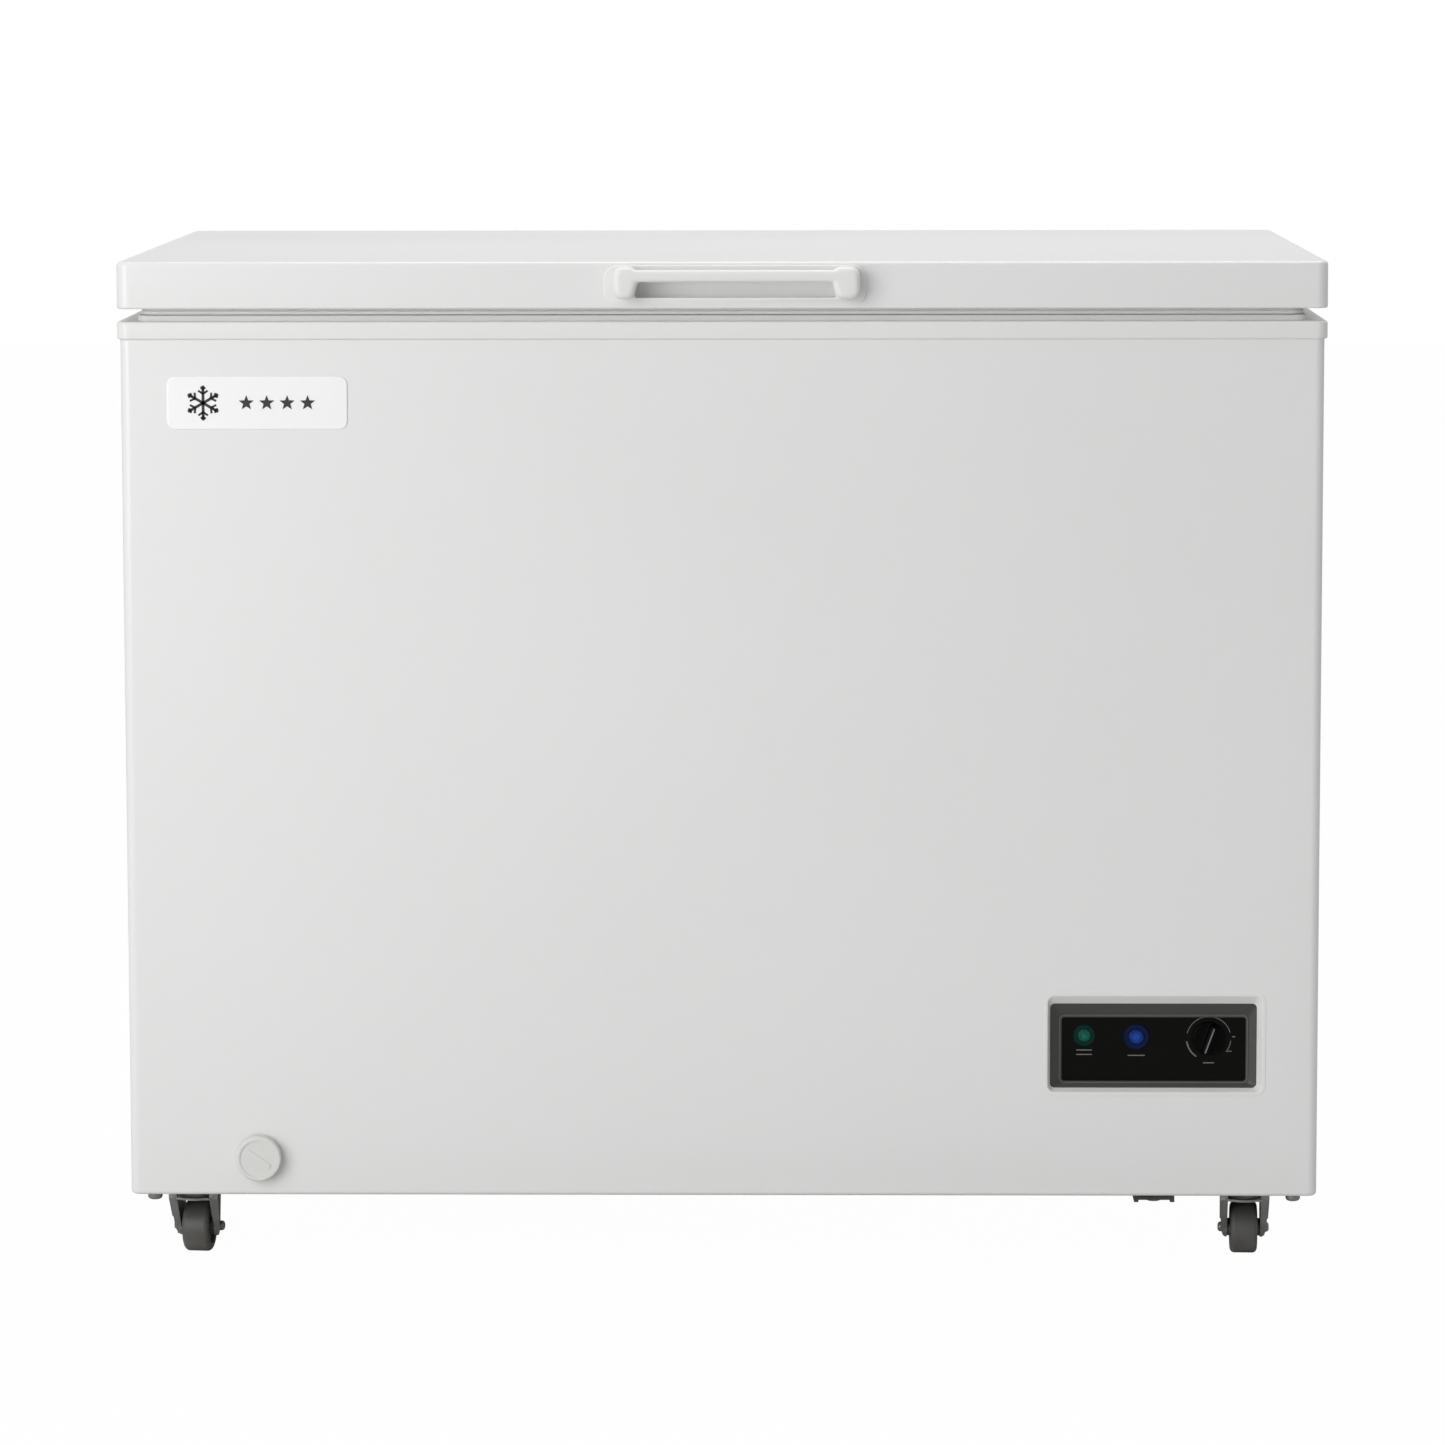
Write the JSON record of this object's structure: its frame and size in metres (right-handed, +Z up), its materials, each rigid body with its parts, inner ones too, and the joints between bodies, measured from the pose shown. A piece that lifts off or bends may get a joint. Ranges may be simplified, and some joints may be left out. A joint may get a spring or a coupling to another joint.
{
  "type": "chest freezer",
  "caption": "White chest freezer on casters with a hinged insulated lid, a front drain cap and a recessed control panel at the lower right.",
  "frame": {"origin": "on the floor under the middle of the whole object, lid closed", "axes": "+X to the viewer's right as seen from the front, -Y towards the front with the handle and controls, +Z up"},
  "size_m": [1.005, 0.649, 0.85],
  "materials": {
    "white_paint": "gloss",
    "galvanised": "satin",
    "white_plastic": "gloss",
    "grey_plastic": "satin",
    "liner_aluminium": "satin",
    "foam": "matte",
    "dark_frame": "satin",
    "black_gloss": "gloss",
    "green_lens": "gloss",
    "blue_lens": "gloss",
    "black_enamel": "satin",
    "rubber": "matte",
    "gasket_rubber": "matte",
    "caster_tyre": "satin",
    "zinc_steel": "satin",
    "copper": "satin",
    "coated_wire": "gloss"
  },
  "bodies": {
    "cabinet": {"outer_wrapper": "white_paint", "back_panel": "galvanised", "base_pan": "galvanised", "evaporator_coil": "liner_aluminium", "condenser_coil": "galvanised", "inner_liner": "liner_aluminium", "drain_tube": "grey_plastic", "foam_insulation": "foam", "bulkhead": "galvanised", "rim_frame": "white_plastic", "compressor_rail": "black_enamel", "compressor": "black_enamel", "compressor_grommets": "rubber", "compressor_bolts": "zinc_steel", "relay_cover": "black_gloss", "copper_pipes": "copper", "filter_drier": "copper", "service_cover": "galvanised", "cord_gland": "rubber", "side_vent_grille": "white_plastic", "control_surround": "white_plastic", "control_frame": "dark_frame", "control_fascia": "black_gloss", "lamp_rings": "dark_frame", "power_lamp_lens": "green_lens", "run_lamp_lens": "blue_lens", "control_housing": "grey_plastic", "thermostat_body": "white_plastic", "wiring_harness": "rubber", "badge_plate": "white_plastic", "base_bolts": "black_enamel", "front_caster_mounts": "zinc_steel", "rear_caster_brackets": "zinc_steel", "rear_axles": "zinc_steel", "caster_screws": "zinc_steel", "hinge_leaves": "zinc_steel", "hinge_pins": "zinc_steel", "hinge_springs": "zinc_steel", "hinge_covers": "grey_plastic", "rear_screws": "zinc_steel"},
    "lid": {"lid_skin": "white_paint", "lid_liner": "white_plastic", "lid_foam": "foam", "lid_gasket": "gasket_rubber", "handle_cup": "white_plastic", "lid_handle": "white_plastic", "hinge_arms": "zinc_steel"},
    "thermostat_knob": {"thermostat_knob": "black_gloss"},
    "drain_cap": {"drain_cap": "white_plastic"},
    "drain_plug": {"drain_plug": "rubber"},
    "basket": {"basket_frame": "coated_wire", "basket_wires": "coated_wire"},
    "front_left_fork": {"front_left_fork": "zinc_steel", "front_left_axle": "zinc_steel"},
    "front_left_wheel": {"front_left_wheel": "caster_tyre"},
    "front_right_fork": {"front_right_fork": "zinc_steel", "front_right_axle": "zinc_steel"},
    "front_right_wheel": {"front_right_wheel": "caster_tyre"},
    "rear_left_wheel": {"rear_left_wheel": "caster_tyre"},
    "rear_right_wheel": {"rear_right_wheel": "caster_tyre"}
  },
  "joints": [
    {"name": "lid_hinge", "type": "hinge", "parent": "cabinet", "child": "lid", "pos_m": [0, 0.3115, 0.806], "axis": [-1, 0, 0], "range_deg": [0, 85], "stiffness_Nm_per_rad": 7, "springref_deg": 91.67, "deforming": ["hinge_springs"]},
    {"name": "thermostat_turn", "type": "hinge", "parent": "cabinet", "child": "thermostat_knob", "pos_m": [0.4089, -0.288, 0.1958], "axis": [0, 1, 0], "range_deg": [-160, 110]},
    {"name": "drain_cap_pull", "type": "slide", "parent": "cabinet", "child": "drain_cap", "axis": [0, -1, 0], "range_m": [0, 0.03]},
    {"name": "drain_plug_lift", "type": "slide", "parent": "cabinet", "child": "drain_plug", "axis": [0, 0, 1], "range_m": [0, 0.04]},
    {"name": "basket_slide", "type": "slide", "parent": "cabinet", "child": "basket", "axis": [1, 0, 0], "range_m": [-0.6, 0]},
    {"name": "front_left_swivel", "type": "hinge", "parent": "cabinet", "child": "front_left_fork", "pos_m": [-0.451, -0.245, 0.052], "axis": [0, 0, 1], "continuous": true},
    {"name": "front_left_roll", "type": "hinge", "parent": "front_left_fork", "child": "front_left_wheel", "pos_m": [-0.44954, -0.23108, 0.022], "axis": [0.9945, -0.1045, 0], "continuous": true},
    {"name": "front_right_swivel", "type": "hinge", "parent": "cabinet", "child": "front_right_fork", "pos_m": [0.443, -0.245, 0.052], "axis": [0, 0, 1], "continuous": true},
    {"name": "front_right_roll", "type": "hinge", "parent": "front_right_fork", "child": "front_right_wheel", "pos_m": [0.44349, -0.23101, 0.022], "axis": [0.9994, -0.0349, 0], "continuous": true},
    {"name": "rear_left_roll", "type": "hinge", "parent": "cabinet", "child": "rear_left_wheel", "pos_m": [-0.451, 0.235, 0.022], "axis": [1, 0, 0], "continuous": true},
    {"name": "rear_right_roll", "type": "hinge", "parent": "cabinet", "child": "rear_right_wheel", "pos_m": [0.443, 0.235, 0.022], "axis": [1, 0, 0], "continuous": true}
  ]
}
